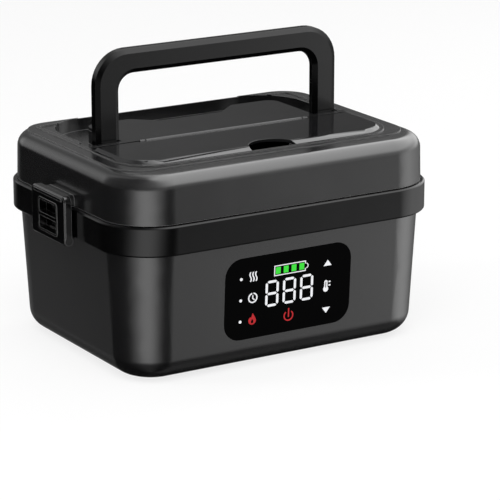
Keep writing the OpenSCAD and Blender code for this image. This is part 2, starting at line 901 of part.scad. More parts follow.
module heat_symbols() {
    u = unit_h;
    color([0.95, 0.15, 0.1]) {
        // flame
        lit(icon_x, -row_gap)
            difference() {
                polygon(u * concat([[0.3, 4]], arc(0, -1, 2.8, 25, -205, 12), [[-1.5, 1.5], [-0.7, 1]]));
                polygon(u * [[0, 0.3], [1, -1.4], [0.8, -2.8], [-0.8, -2.8], [-1, -1.6]]);
            }
        // power
        lit(digit_x, power_z)
            arc_band(3.3 * u, 0.85 * u, 130, 410);
        lit(digit_x, power_z + 2 * u)
            square([0.85 * u, 6 * u], center = true);
    }
}

module mode_lamps() {
    color("white")
    for (i = [-1 : 1])
        lit(lamp_x, i * row_gap + lamp_dz)
            circle(r = unit_h, $fn = 20);
}

// ------------------------------------------------------------------ food container

module food_container() {
    out = rim_inset + rim_w;
    cx = corner_r - out - container_fillet;
    cz = container_z + container_fillet;
    color(steel)
    union() {
        swept()
            polygon(concat(
                [at(rim_inset, container_top - 2.4), at(rim_inset, container_top),
                 at(out + sheet_t, container_top)],
                arc(cx, cz, container_fillet - sheet_t, 0, -90, 8),
                [[cx - 0.5, container_z + sheet_t], [cx - 0.5, container_z]],
                arc(cx, cz, container_fillet, -90, 0, 8),
                [at(out, container_top - sheet_t), at(rim_inset + sheet_t, container_top - sheet_t),
                 at(rim_inset + sheet_t, container_top - 2.4)]));
        slab(inset_outline(out + container_fillet + 0.2), container_z, container_z + sheet_t);
    }
}

module container_lid() {
    plug = rim_inset + rim_w + sheet_t + 1.6;
    color([0.85, 0.87, 0.88, 0.8])
    difference() {
        union() {
            slab(inset_outline(rim_inset + 0.2), inner_lid_z, inner_lid_z + inner_lid_t);
            swept()
                polygon([at(plug, inner_lid_z), at(plug, inner_lid_z - plug_h),
                    at(plug + 1.6, inner_lid_z - plug_h), at(plug + 1.6, inner_lid_z)]);
        }
        translate([0, 30, inner_lid_z - 1])
            cylinder(r = 5, h = inner_lid_t + 2);
    }
}

module container_seal() {
    plug = rim_inset + rim_w + sheet_t;
    color(silicone)
    swept()
        polygon([at(plug + 0.2, inner_lid_z - 1.2), at(plug + 0.2, inner_lid_z - 3.4),
            at(plug + 1.6, inner_lid_z - 3.4), at(plug + 1.6, inner_lid_z - 1.2)]);
}

module vent_plug() {
    color([0.75, 0.2, 0.15])
    translate([0, 30, 0]) {
        translate([0, 0, inner_lid_z - 0.6])
            cylinder(r = 4.8, h = inner_lid_t + 0.6);
        translate([0, 0, inner_lid_z + inner_lid_t])
            cylinder(r = 7, h = 1.2);
    }
}

// ------------------------------------------------------------------ lid

// The handle's channel, grown all round by g
module channel2d(g) {
    h = channel_half + g;
    b = channel_back + g;
    r = channel_r + g;
    difference() {
        union() {
            polygon(concat([[-h, pocket_y0 - g], [h, pocket_y0 - g]],
                arc(h - r, b - r, r, 0, 90, 12), arc(-h + r, b - r, r, 90, 180, 12)));
            // pockets that the handle's pivots stand in
            for (s = [-1, 1])
                polygon(rounded(pocket_half - leg_in + 2 * g, pocket_y1 - pocket_y0 + 2 * g, 2, 3,
                    [s * (pocket_half + leg_in) / 2, (pocket_y1 + pocket_y0) / 2]));
        }
        // the island that carries the deck, with its finger notch
        island2d(-g);
    }
}

module island2d(g) {
    h = deck_half + g;
    b = deck_back + g;
    n = deck_notch;
    polygon(concat(
        [[-h, pocket_y0 - 10], [h, pocket_y0 - 10]],
        arc(h - 8, b - 8, 8, 0, 90, 6),
        [[40 + g * 0.4, b], [24 + g, b - n], [-24 - g, b - n], [-40 - g * 0.4, b]],
        arc(-h + 8, b - 8, 8, 90, 180, 6)));
}

module mouth2d(g = 0) {
    l = 2 * (mouth_half + g);
    y0 = mouth_front - g;
    y1 = mouth_back + min(g, 2.4);
    polygon(rounded(l, y1 - y0, mouth_r, 8, [0, (y0 + y1) / 2]));
}

module scoop2d(g = 0) {
    intersection() {
        translate([notch_x, flap_front])
            circle(r = notch_r + g, $fn = 64);
        translate([notch_x, flap_front + notch_r])
            square([3 * notch_r, 2 * notch_r + 2 * g], center = true);
    }
}

module lid_profile() {
    r = lid_fillet;
    lean = tan(lid_draft);
    cz = rim_z - r;
    face = lid_inset + (cz - lid_z) * lean;
    cx = corner_r - face - r / cos(lid_draft);
    polygon(concat(
        [at(lid_inset, lid_z)],
        arc(cx, cz, r, lid_draft, 90, 8),
        [at(plate_inset, rim_z), at(plate_inset, plate_z)],
        arc(cx, cz, r - wall, 90, lid_draft, 8),
        [at(lid_inset + wall / cos(lid_draft), lid_z)]));
}

// The raised field inside the lid's shoulder
module field2d() {
    y0 = front + field_front;
    y1 = -front - field_back;
    polygon(rounded(2 * field_half, y1 - y0, field_r, 10, [0, (y0 + y1) / 2]));
}

// Outline of the low frame round cover and deck, g outside its inner edge
module frame2d(g) {
    h = pocket_half + g;
    y0 = flap_front - move_gap - g;
    y1 = -front - frame_back - frame_w + g;
    low_r = flap_r + move_gap + g;
    high_r = 2.4 + g;
    polygon(concat(
        arc(h - high_r, y1 - high_r, high_r, 0, 90, 4),
        arc(-h + high_r, y1 - high_r, high_r, 90, 180, 4),
        arc(-h + low_r, y0 + low_r, low_r, 180, 270, 10),
        arc(h - low_r, y0 + low_r, low_r, 270, 360, 10)));
}

module lid_shell() {
    color(charcoal)
    difference() {
        union() {
            swept()
                lid_profile();
            slab(inset_outline(plate_inset - 1), plate_z, rim_z);
            translate([0, 0, plate_z + 0.5])
                linear_extrude(top_z - plate_z - 0.5)
                    field2d();
            translate([0, 0, rim_z])
                linear_extrude(rim_step + frame_h)
                    difference() {
                        frame2d(frame_w);
                        frame2d(0);
                    }
            translate([0, 0, channel_z - 2])
                linear_extrude(plate_z - channel_z + 3)
                    channel2d(2);
            for (s = [-1, 1]) {
                rod_sx(s, pin_boss_r, pin_in, leg_in - 1.5, pivot_y, pivot_z);
                rod_sx(s, pin_boss_r, pocket_half, pin_out, pivot_y, pivot_z);
                clip_keeper(s);
            }
            corners(lid_boss_x, lid_boss_y)
                translate([0, 0, liner_z + liner_t])
                    cylinder(r = lid_boss_r, h = screw_bite + 4, $fn = 32);
        }
        translate([0, 0, channel_z])
            linear_extrude(channel_d + 5)
                channel2d(0);
        translate([0, 0, plate_z - 1])
            linear_extrude(ring_t + 2)
                mouth2d();
        translate([0, 0, plate_z - 1])
            linear_extrude(ring_t + 2)
                scoop2d(-0.6);
        corners(lid_boss_x, lid_boss_y)
            translate([0, 0, liner_z])
                cylinder(r = screw_r + fix_gap, h = liner_t + screw_bite + 2, $fn = 32);
        for (s = [-1, 1])
            rod_sx(s, pivot_r + fix_gap, pin_in, pin_out, pivot_y, pivot_z);
    }
}

// Pad on the lid's end that a side clip closes against
module clip_keeper(s) {
    x0 = band_l / 2 - lid_inset - 1.5;
    x1 = clip_back - move_gap;
    intersection() {
        block(min(s * x0, s * x1), max(s * x0, s * x1), -keeper_w / 2, keeper_w / 2,
            lid_z, lid_z + keeper_h);
        translate([s * (x0 + x1) / 2, 0, lid_z])
            rotate([0, 90, 0])
                linear_extrude(20, center = true)
                    polygon(rounded(2 * keeper_h, keeper_w, 3, 4));
    }
}

module lid_liner() {
    edge = lid_inset + wall + 0.5;
    color([0.2, 0.2, 0.21])
    difference() {
        slab(inset_outline(edge, 12), liner_z, liner_z + liner_t);
        corners(lid_boss_x, lid_boss_y)
            translate([0, 0, liner_z - 1]) {
                cylinder(r = screw_r + 0.2, h = liner_t + 2, $fn = 32);
                cylinder(r = screw_head_r + 0.2, h = 1 + head_sink, $fn = 32);
            }
    }
}

module lid_seal() {
    color(silicone)
    swept()
        polygon([at(seal_in, liner_z), at(seal_in + 0.6, seal_bottom),
            at(seal_in + seal_w - 0.6, seal_bottom), at(seal_in + seal_w, liner_z)]);
}

module lid_screws() {
    color(steel)
    corners(lid_boss_x, lid_boss_y)
        translate([0, 0, liner_z]) {
            cylinder(r = screw_head_r, h = head_sink, $fn = 32);
            cylinder(r = screw_r, h = liner_t + screw_bite, $fn = 32);
        }
}

// Glossy deck between the handle's legs and in front of them
module lid_deck() {
    y0 = hinge_y + barrel_r + move_gap;
    color(glossy)
    difference() {
        union() {
            slab(rounded(2 * flap_half, pocket_y0 - y0, 0.8, 2, [0, (pocket_y0 + y0) / 2]), top_z, deck_z);
            translate([0, 0, top_z])
                linear_extrude(deck_t)
                    intersection() {
                        island2d(0);
                        translate([-band_l / 2, y0])
                            square([band_l, band_w]);
                    }
            for (s = [-1, 1])
                hinge_knuckle(s);
        }
        rod_x(hinge_pin_r + fix_gap, -hinge_half - knuckle_l - 1, hinge_half + knuckle_l + 1,
            hinge_y, hinge_z);
    }
}

// End knuckle of the cover's hinge, carried by the deck
module hinge_knuckle(s) {
    a = s * (hinge_half + fit_gap);
    b = s * (hinge_half + knuckle_l);
    rod_x(barrel_r, min(a, b), max(a, b), hinge_y, hinge_z);
    block(min(a, b), max(a, b), hinge_y, hinge_y + barrel_r + move_gap + 1, top_z, hinge_z + 0.4);
}

module cutlery_tray() {
    color([0.1, 0.1, 0.11])
    difference() {
        translate([0, 0, tray_z])
            linear_extrude(plate_z - tray_z)
                mouth2d(tray_grow);
        translate([0, 0, tray_z + tray_wall])
            linear_extrude(plate_z - tray_z)
                offset(delta = -tray_wall)
                    mouth2d(tray_grow);
    }
}

// The cover's outline, drawn in by g in front and less at its ends
module flap2d(g) {
    h = flap_half - 0.4 * g;
    y0 = flap_front + g;
    y1 = hinge_y - 0.25;
    r = flap_r - g;
    polygon(concat(
        [[h, y1], [-h, y1]],
        arc(-h + r, y0 + r, r, 180, 270, 10),
        arc(h - r, y0 + r, r, 270, 360, 10)));
}

module cutlery_cover() {
    edge = 0.5;
    skin = 0.05;
    color(glossy)
    difference() {
        union() {
            // a plate with a plain bevel
            hull() {
                translate([0, 0, flap_z])
                    linear_extrude(edge)
                        flap2d(0);
                translate([0, 0, deck_z - skin])
                    linear_extrude(skin)
                        flap2d(flap_bevel);
            }
            rod_x(barrel_r, -hinge_half, hinge_half, hinge_y, hinge_z);
        }
        translate([0, 0, flap_z - 1])
            linear_extrude(deck_z - flap_z + 2)
                scoop2d();
        // room for the knuckles at both ends of the barrel
        for (s = [-1, 1])
            translate([s * (hinge_half + knuckle_l / 2), hinge_y - 0.25, hinge_z])
                cube([knuckle_l + 0.8, 2 * (barrel_r + 0.5), 2 * deck_t], center = true);
        rod_x(hinge_pin_r + run_gap, -hinge_half - 1, hinge_half + 1, hinge_y, hinge_z);
    }
}

module cover_hinge_pin() {
    color(steel)
    rod_x(hinge_pin_r, -hinge_half - knuckle_l, hinge_half + knuckle_l, hinge_y, hinge_z);
}

// ------------------------------------------------------------------ handle

// The bail's outer outline, seen from the front, drawn in by g
module bail2d(g) {
    h = handle_half - g;
    t = handle_h - g;
    r = handle_r - g;
    polygon(concat([[-h, 0], [h, 0]], arc(h - r, t - r, r, 0, 90, 10), arc(-h + r, t - r, r, 90, 180, 10)));
}

// The bail's opening, widened by g
module grip2d(g) {
    h = leg_in + g;
    t = handle_h - bar_h + g;
    r = handle_in_r + g;
    polygon(concat([[-h, -handle_t], [h, -handle_t]],
        arc(h - r, t - r, r, 0, 90, 8), arc(-h + r, t - r, r, 90, 180, 8)));
}

module handle() {
    half_t = handle_t / 2;
    k_in = [0, handle_bevel];
    k_depth = [bevel_d, 0];
    color(black)
    difference() {
        translate([0, pivot_y, pivot_z]) {
            rotate([90, 0, 0])
                difference() {
                    hull() {
                        translate([0, 0, -half_t + bevel_d])
                            linear_extrude(handle_t - 2 * bevel_d)
                                bail2d(0);
                        translate([0, 0, -half_t])
                            linear_extrude(handle_t)
                                bail2d(handle_bevel);
                    }
                    translate([0, 0, -handle_t])
                        linear_extrude(2 * handle_t)
                            grip2d(0);
                    // bevels round the opening, front and back
                    for (s = [-1, 1])
                        hull() {
                            translate([0, 0, s * (half_t + 0.5) - 0.5])
                                linear_extrude(1)
                                    grip2d(handle_bevel);
                            translate([0, 0, s * (half_t - bevel_d - 0.5) - 0.5])
                                linear_extrude(1)
                                    grip2d(0);
                        }
                }
            for (s = [-1, 1], k = [0, 1])
                rod_sx(s, half_t - k_depth[k], leg_in + k_in[k], handle_half - k_in[k], 0, 0);
        }
        for (s = [-1, 1])
            rod_sx(s, pivot_r + run_gap, leg_in - 1, handle_half + 1, pivot_y, pivot_z);
    }
}

module handle_pins() {
    color(steel)
    for (s = [-1, 1])
        rod_sx(s, pivot_r, pin_in + 1, pin_out - 1, pivot_y, pivot_z);
}

// ------------------------------------------------------------------ side clips

// A clip's outline drawn in by g
function clip_outline(g) =
    let (w = clip_w / 2 - g, z0 = clip_z - clip_barrel_r + g, z1 = clip_z + clip_h - g,
        r0 = clip_low_r - g, r1 = clip_r - g)
    concat(arc(w - r1, z1 - r1, r1, 0, 90, 6), arc(-w + r1, z1 - r1, r1, 90, 180, 6),
        arc(-w + r0, z0 + r0, r0, 180, 270, 4), arc(w - r0, z0 + r0, r0, 270, 360, 4));

// A clip on the +X end; its face lies in the YZ plane
module clip() {
    window_z = clip_z + 2.3;
    pane = (window_h - window_bar) / 2;
    slot = ear_w + 2 * move_gap;
    difference() {
        union() {
            translate([clip_back, 0, 0])
                rotate([90, 0, 90])
                    hull() {
                        linear_extrude(clip_t - clip_bevel)
                            polygon(clip_outline(0));
                        linear_extrude(clip_t)
                            polygon(clip_outline(clip_bevel));
                    }
            rod_y(clip_barrel_r, -clip_w / 2, clip_w / 2, clip_x, clip_z);
            // raised frame round the window
            translate([clip_back + clip_t - 1, 0, 0])
                rotate([90, 0, 90])
                    linear_extrude(1.4)
                        polygon(rounded(window_w + 2.8, window_h + 2.8, 2.2, 4,
                            [0, window_z + window_h / 2]));
            // finger lip along the top
            translate([clip_back + clip_t - 1, -clip_w / 2 + clip_r, clip_z + clip_h - 3.4])
                cube([1.5, clip_w - 2 * clip_r, 1.8]);
        }
        for (k = [0, 1])
            translate([clip_back - 3, 0, 0])
                rotate([90, 0, 90])
                    linear_extrude(clip_t + 6)
                        polygon(rounded(window_w, pane, 1.2, 3,
                            [0, window_z + pane / 2 + k * (pane + window_bar)]));
        // room for the ears, closed toward the outside
        for (y = [-ear_y, ear_y])
            block(clip_x - 8, clip_x + ear_r + move_gap, y - slot / 2, y + slot / 2,
                clip_z - 5, clip_z + ear_r + move_gap);
        rod_y(clip_pin_r + run_gap, -clip_w / 2 + 1.6, clip_w, clip_x, clip_z);
    }
}

module left_clip() {
    color(black)
    mirror([1, 0, 0])
        clip();
}

module right_clip() {
    color(black)
    clip();
}

module clip_pins() {
    color(steel)
    for (s = [-1, 1])
        rod_y(clip_pin_r, -clip_w / 2 + 1.8, clip_w / 2 - 1, s * clip_x, clip_z);
}

lower_housing();
base_cover();
rubber_feet();
base_screws();
collar_band();
heated_tub();
heating_plate();
heating_elements();
heat_shield();
temperature_sensor();
foam_jacket();
battery_cells();
battery_holder();
control_board();
board_parts();
power_socket();
socket_contact();
display_window();
display_board();
display_numerals();
battery_gauge();
mode_symbols();
heat_symbols();
mode_lamps();
internal_leads();
food_container();
container_lid();
container_seal();
vent_plug();
lid_shell();
lid_liner();
lid_seal();
lid_screws();
lid_deck();
cutlery_tray();
cutlery_cover();
cover_hinge_pin();
handle();
handle_pins();
left_clip();
right_clip();
clip_pins();
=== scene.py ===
import math

import bpy
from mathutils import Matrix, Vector

bl_info = {
    "name": "Electric Lunch Box",
    "version": (1, 0, 0),
    "blender": (4, 5, 0),
    "location": "3D View > Sidebar > Lunch Box",
    "description": "Finishes, fittings and a photo stage for an electric lunch box",
    "category": "Object",
}

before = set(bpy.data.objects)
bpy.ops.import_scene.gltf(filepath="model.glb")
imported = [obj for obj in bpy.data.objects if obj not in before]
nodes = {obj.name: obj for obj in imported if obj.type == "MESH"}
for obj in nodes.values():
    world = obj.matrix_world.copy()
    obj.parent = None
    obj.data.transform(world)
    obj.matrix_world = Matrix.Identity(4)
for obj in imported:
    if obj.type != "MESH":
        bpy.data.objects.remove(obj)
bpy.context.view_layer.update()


LIGHTEN = 1.25                  # how much paler a handled patch is
SIGN_DIM = 0.86                 # how bright a lit sign's dimmer cells are
EDGE_SAMPLES = 6
SQUARE_ON = (0.93, 0.99)        # how square to its axis a broad face is, for the painted sheen
UPWARD = (0.2, 0.5)             # how far up a top bevel faces, for the painted sheen
COAT_IOR = 1.75                 # strong enough a coat for the black plastic's painted sheen
FINE_GRAIN = 0.00001            # depths of moulded grain, in metres
COARSE_GRAIN = 0.00002
GLOSS_GRAIN = 0.000002
WELD = 0.000004                 # how near a CAD mesh's split corners lie, in metres
SMOOTH_BELOW = math.radians(24)
ROUND_ABOVE = math.radians(40)
FLOOR_SHARE = 0.72              # how much of what is seen of the floor is its own glow


# ------------------------------------------------------------------ settings

def colour(name, description, default):
    return bpy.props.FloatVectorProperty(
        name=name, description=description, default=default, subtype="COLOR", size=3, min=0.0, max=1.0)


def length(name, description, default):
    return bpy.props.FloatProperty(
        name=name, description=description, default=default, unit="LENGTH", min=0.0)


def factor(name, description, default, top=1.0):
    return bpy.props.FloatProperty(
        name=name, description=description, default=default, min=0.0, max=top, subtype="FACTOR")


def amount(name, description, default, **more):
    return bpy.props.FloatProperty(name=name, description=description, default=default, min=0.0, **more)


def angle(name, description, default):
    return bpy.props.FloatProperty(
        name=name, description=description, default=math.radians(default), subtype="ANGLE")


class LUNCHBOX_PG_shell(bpy.types.PropertyGroup):
    """Finish of the housing and the lid."""
    charcoal: colour("Charcoal", "Colour of the housing and the lid", (0.006, 0.006, 0.0063))
    charcoal_roughness: factor("Sheen width", "Roughness of the charcoal mouldings", 0.2)
    grain_depth: length("Grain depth", "Depth of the fine mould grain", 0.000004)
    gloss_black: colour("Gloss black", "Colour of collar, handle and clips", (0.0012, 0.0012, 0.0013))
    gloss_roughness: factor("Gloss width", "Roughness of the black mouldings", 0.14)
    deck_grey: colour("Deck", "Colour of the deck and the compartment's cover", (0.01, 0.01, 0.0105))
    deck_roughness: factor("Deck gloss", "Roughness of the deck and the cover", 0.08)
    # painted highlight: how much lighter the mouldings' colour is drawn along their edges
    painted_edge_highlight: factor("Edge tone", "How bright the painted highlight along the edges is", 0.13)
    edge_round: length("Edge round", "Rounding put on the mouldings' sharp edges", 0.00045)


class LUNCHBOX_PG_display(bpy.types.PropertyGroup):
    """Display window and its lit signs."""
    glass: colour("Glass", "Colour of the display window", (0.0003, 0.0003, 0.0004))
    white: colour("White signs", "Colour of the numerals and plain signs", (0.96, 0.97, 1.0))
    green: colour("Green signs", "Colour of the battery gauge's bars", (0.06, 0.8, 0.06))
    red: colour("Red signs", "Colour of the flame and power signs", (0.52, 0.03, 0.035))
    glow: amount("Glow", "Strength of the lit signs", 1.0)


class LUNCHBOX_PG_stage(bpy.types.PropertyGroup):
    """Camera, floor and light."""
    turn: angle("Turn", "Direction the camera looks in, to the right of straight ahead", 31.483)
    tilt: angle("Tilt", "How far the camera looks down", 16.189)
    focal: bpy.props.FloatProperty(
        name="Focal length", description="Focal length on a 36 mm sensor", default=190.0, unit="CAMERA")
    place: bpy.props.FloatVectorProperty(
        name="Camera place", description="Where the camera stands", default=(-0.86593, -1.45387, 0.54636),
        subtype="TRANSLATION", size=3)
    floor: colour("Floor", "Colour of floor and backdrop", (0.8, 0.8, 0.8))
    floor_glow: factor("Floor glow", "How bright floor and backdrop are to the camera", 1.1, 2.0)
    key: amount("Key light", "Power of the large soft light", 14.0, unit="POWER")
    rim: amount("Rim lights", "Power of the strip lights", 5.0, unit="POWER")
    sky: factor("Surrounding light", "Strength of the even light from all round", 0.55, 2.0)


def settings():
    scene = bpy.context.scene
    return scene.lunchbox_shell, scene.lunchbox_display, scene.lunchbox_stage


# ------------------------------------------------------------------ node groups

def new_group(name, inputs, outputs):
    group = bpy.data.node_groups.new(name, "ShaderNodeTree")
    for label, default in inputs:
        socket = group.interface.new_socket(label, in_out="INPUT", socket_type="NodeSocketFloat")
        socket.default_value = default
    for label, kind in outputs:
        group.interface.new_socket(label, in_out="OUTPUT", socket_type=kind)
    return group, group.nodes.new("NodeGroupInput"), group.nodes.new("NodeGroupOutput")


def link(tree, a, out, b, socket):
    tree.links.new(a.outputs[out], b.inputs[socket])


def math_node(tree, operation, *values, clamp=False):
    node = tree.nodes.new("ShaderNodeMath")
    node.operation = operation
    node.use_clamp = clamp
    for i, value in enumerate(values):
        if isinstance(value, (int, float)):
            node.inputs[i].default_value = value
        else:
            tree.links.new(value, node.inputs[i])
    return node.outputs[0]


def noise(tree, scale, detail=3.0, rough=0.5, vector=None):
    node = tree.nodes.new("ShaderNodeTexNoise")
    if isinstance(scale, (int, float)):
        node.inputs["Scale"].default_value = scale
    else:
        tree.links.new(scale, node.inputs["Scale"])
    node.inputs["Detail"].default_value = detail
    node.inputs["Roughness"].default_value = rough
    if vector is not None:
        tree.links.new(vector, node.inputs["Vector"])
    return node


def spread(tree, value, low, high, to_low=0.0, to_high=1.0):
    node = tree.nodes.new("ShaderNodeMapRange")
    node.inputs["From Min"].default_value = low
    node.inputs["From Max"].default_value = high
    for name, amount in (("To Min", to_low), ("To Max", to_high)):
        if isinstance(amount, (int, float)):
            node.inputs[name].default_value = amount
        else:
            tree.links.new(amount, node.inputs[name])
    tree.links.new(value, node.inputs["Value"])
    return node.outputs["Result"]


def mould_grain():
    """Fine leathery grain of a moulded plastic: a height from 0 to 1."""
    if "Mould Grain" in bpy.data.node_groups:
        return bpy.data.node_groups["Mould Grain"]
    group, start, end = new_group("Mould Grain", [("Scale", 2500.0)], [("Height", "NodeSocketFloat")])
    place = group.nodes.new("ShaderNodeTexCoord")
    cells = group.nodes.new("ShaderNodeTexVoronoi")
    cells.feature = "SMOOTH_F1"
    link(group, start, "Scale", cells, "Scale")
    link(group, place, "Object", cells, "Vector")
    fine = noise(group, math_node(group, "MULTIPLY", start.outputs["Scale"], 2.1), 2.0,
                 vector=place.outputs["Object"])
    mixed = math_node(group, "ADD", math_node(group, "MULTIPLY", cells.outputs["Distance"], 0.7),
                      math_node(group, "MULTIPLY", fine.outputs["Fac"], 0.3))
    group.links.new(mixed, end.inputs["Height"])
    return group


def handling():
    """Faint smears and dull patches where hands touch: a mask from 0 to 1."""
    if "Handling" in bpy.data.node_groups:
        return bpy.data.node_groups["Handling"]
    group, start, end = new_group("Handling", [("Scale", 18.0), ("Sharpness", 0.5)],
                                  [("Mask", "NodeSocketFloat")])
    place = group.nodes.new("ShaderNodeTexCoord")
    broad = noise(group, start.outputs["Scale"], 4.0, 0.6, place.outputs["Object"])
    broad.inputs["Distortion"].default_value = 0.6
    streak = noise(group, math_node(group, "MULTIPLY", start.outputs["Scale"], 6.0), 5.0, 0.7,
                   place.outputs["Object"])
    patches = spread(group, broad.outputs["Fac"], 0.42, 0.66)
    marks = spread(group, streak.outputs["Fac"], 0.4, 0.7)
    marks = math_node(group, "MULTIPLY", marks, start.outputs["Sharpness"])
    mixed = math_node(group, "MULTIPLY", patches, math_node(group, "ADD", marks, 0.5), clamp=True)
    group.links.new(mixed, end.inputs["Mask"])
    return group


def edges():
    """A mask that is white along sharp edges, where the painted edge highlight goes."""
    if "Edges" in bpy.data.node_groups:
        return bpy.data.node_groups["Edges"]
    group, start, end = new_group("Edges", [("Radius", 0.0005)], [("Mask", "NodeSocketFloat")])
    soft = group.nodes.new("ShaderNodeBevel")
    soft.samples = EDGE_SAMPLES
    link(group, start, "Radius", soft, "Radius")
    here = group.nodes.new("ShaderNodeNewGeometry")
    dot = group.nodes.new("ShaderNodeVectorMath")
    dot.operation = "DOT_PRODUCT"
    group.links.new(soft.outputs["Normal"], dot.inputs[0])
    group.links.new(here.outputs["Normal"], dot.inputs[1])
    group.links.new(spread(group, dot.outputs["Value"], 0.86, 0.98, 1.0, 0.0), end.inputs["Mask"])
    return group


def facing():
    """Masks by a face's direction in its own piece: square to one axis, and facing up. They set the black
    plastic's painted sheen.
    """
    if "Facing" in bpy.data.node_groups:
        return bpy.data.node_groups["Facing"]
    group, start, end = new_group("Facing", [("X", 0.0), ("Y", 0.0), ("Z", 0.0)],
                                  [("Mask", "NodeSocketFloat"), ("Up", "NodeSocketFloat")])
    place = group.nodes.new("ShaderNodeTexCoord")
    split = group.nodes.new("ShaderNodeSeparateXYZ")
    link(group, place, "Normal", split, "Vector")
    group.links.new(spread(group, split.outputs["Z"], *UPWARD), end.inputs["Up"])
    total = 0.0
    for axis in "XYZ":
        part = math_node(group, "MULTIPLY", split.outputs[axis], start.outputs[axis])
        total = math_node(group, "ADD", math_node(group, "ABSOLUTE", part), total)
    group.links.new(spread(group, total, *SQUARE_ON), end.inputs["Mask"])
    return group


def brushed():
    """Long fine brush lines along X: a height from 0 to 1."""
    if "Brushed" in bpy.data.node_groups:
        return bpy.data.node_groups["Brushed"]
    group, start, end = new_group("Brushed", [("Scale", 900.0)], [("Height", "NodeSocketFloat")])
    place = group.nodes.new("ShaderNodeTexCoord")
    stretch = group.nodes.new("ShaderNodeMapping")
    stretch.inputs["Scale"].default_value = (0.02, 1.0, 1.0)
    link(group, place, "Object", stretch, "Vector")
    lines = noise(group, start.outputs["Scale"], 4.0, 0.65, stretch.outputs["Vector"])
    group.links.new(lines.outputs["Fac"], end.inputs["Height"])
    return group


# ------------------------------------------------------------------ materials

def material(name, base, roughness, **plain):
    made = bpy.data.materials.new("look_" + name)
    made.use_nodes = True
    shader = made.node_tree.nodes["Principled BSDF"]
    shader.inputs["Base Color"].default_value = (*base, 1.0)
    shader.inputs["Roughness"].default_value = roughness
    for socket, value in plain.items():
        shader.inputs[socket.replace("_", " ")].default_value = value
    return made, made.node_tree, shader


def place_group(tree, group, **values):
    node = tree.nodes.new("ShaderNodeGroup")
    node.node_tree = group
    for socket, value in values.items():
        node.inputs[socket.replace("_", " ")].default_value = value
    return node


def add_bump(tree, shader, height, distance):
    bump = tree.nodes.new("ShaderNodeBump")
    bump.inputs["Distance"].default_value = distance
    tree.links.new(height, bump.inputs["Height"])
    link(tree, bump, "Normal", shader, "Normal")


def mix_colours(tree, mask, low, high):
    """Two colours mixed by a mask; low may also be a socket."""
    mix = tree.nodes.new("ShaderNodeMix")
    mix.data_type = "RGBA"
    if isinstance(low, tuple):
        mix.inputs["A"].default_value = (*low, 1.0)
    else:
        tree.links.new(low, mix.inputs["A"])
    mix.inputs["B"].default_value = (*high, 1.0)
    tree.links.new(mask, mix.inputs["Factor"])
    return mix.outputs["Result"]


def moulded(name, base, roughness, grain_scale, grain_depth, smear=0.06, edge=0.0, **plain):
    """A moulded plastic with fine grain, smears that dull it a little, and, where edge is above zero, a
    painted highlight along its edges.
    """
    made, tree, shader = material(name, base, roughness, **plain)
    touched = place_group(tree, handling(), Scale=14.0, Sharpness=0.6)
    paler = tuple(min(c * LIGHTEN, 1.0) for c in base)
    tone = mix_colours(tree, touched.outputs["Mask"], tuple(base), paler)
    tree.links.new(spread(tree, touched.outputs["Mask"], 0.0, 1.0, roughness, roughness + smear),
                   shader.inputs["Roughness"])
    # painted highlight: the colour is lightened along sharp edges in place of the light their rounding
    # catches
    if edge > 0:
        edge_highlight = place_group(tree, edges(), Radius=settings()[0].edge_round)
        tone = mix_colours(tree, edge_highlight.outputs["Mask"], tone, (edge, edge, edge))
    tree.links.new(tone, shader.inputs["Base Color"])
    if grain_depth > 0:
        grain = place_group(tree, mould_grain(), Scale=grain_scale)
        add_bump(tree, shader, grain.outputs["Height"], grain_depth)
    return made


def metal(name, base, roughness, depth=0.000006, scale=900.0):
    made, tree, shader = material(name, base, roughness, Metallic=1.0)
    lines = place_group(tree, brushed(), Scale=scale)
    tree.links.new(spread(tree, lines.outputs["Height"], 0.3, 0.7, roughness * 0.8, roughness * 1.3),
                   shader.inputs["Roughness"])
    add_bump(tree, shader, lines.outputs["Height"], depth)
    return made


def lit(name, base, glow):
    """A lit sign: its light falls off a little in soft cells, as behind a diffuser."""
    made, tree, shader = material(name, (0.0, 0.0, 0.0), 0.35, Specular_IOR_Level=0.05)
    place = tree.nodes.new("ShaderNodeTexCoord")
    cells = noise(tree, 700.0, 2.0, vector=place.outputs["Object"])
    mask = spread(tree, cells.outputs["Fac"], 0.35, 0.65)
    light = mix_colours(tree, mask, tuple(c * SIGN_DIM for c in base), tuple(base))
    tree.links.new(light, shader.inputs["Emission Color"])
    shader.inputs["Emission Strength"].default_value = glow
    return made


def cached(name, make):
    """A material made once. The prefix keeps it apart from the CAD's own of the same name."""
    return bpy.data.materials.get("look_" + name) or make()


def charcoal(name, edge):
    s = settings()[0]
    # edge scales the painted highlight along this moulding's edges
    return cached(name, lambda: moulded(
        name, tuple(s.charcoal), s.charcoal_roughness, 2600.0, s.grain_depth, 0.05,
        edge=s.painted_edge_highlight * edge, Specular_IOR_Level=1.0))


def gloss_black():
    s = settings()[0]
    # the gloss black gets half the painted edge highlight along its edges
    return cached("gloss_black_plastic", lambda: moulded(
        "gloss_black_plastic", tuple(s.gloss_black), s.gloss_roughness, 1800.0, GLOSS_GRAIN, 0.05,
        edge=0.5 * s.painted_edge_highlight, Specular_IOR_Level=0.38))


